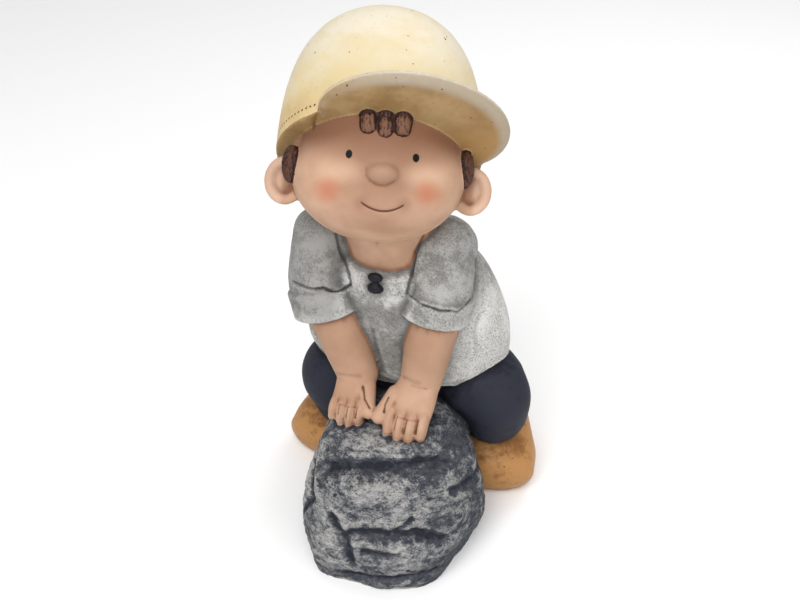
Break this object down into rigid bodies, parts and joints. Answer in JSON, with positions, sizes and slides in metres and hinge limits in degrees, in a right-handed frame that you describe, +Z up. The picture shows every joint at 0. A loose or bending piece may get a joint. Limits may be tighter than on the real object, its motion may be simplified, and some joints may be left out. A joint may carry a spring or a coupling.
{
  "type": "boy statue",
  "caption": "Cast garden statue of a boy in a cap who stands behind a boulder and leans on it with both hands, his face turned up to the viewer",
  "frame": {"origin": "on the ground, in the boulder's flat underside, below the boy's plane of symmetry and just in front of his feet", "axes": "the boy's body faces -Y, +X is to his left, +Z is up; the head is turned 18 degrees to his left and tilted up"},
  "size_m": [0.2727, 0.2843, 0.5081],
  "materials": {
    "painted_cast": "hand-painted cast magnesia, matt, with a dark wash in the hollows; the colours are in the visual"
  },
  "bodies": {
    "root": {"boy_statue": "painted_cast"}
  },
  "joints": []
}
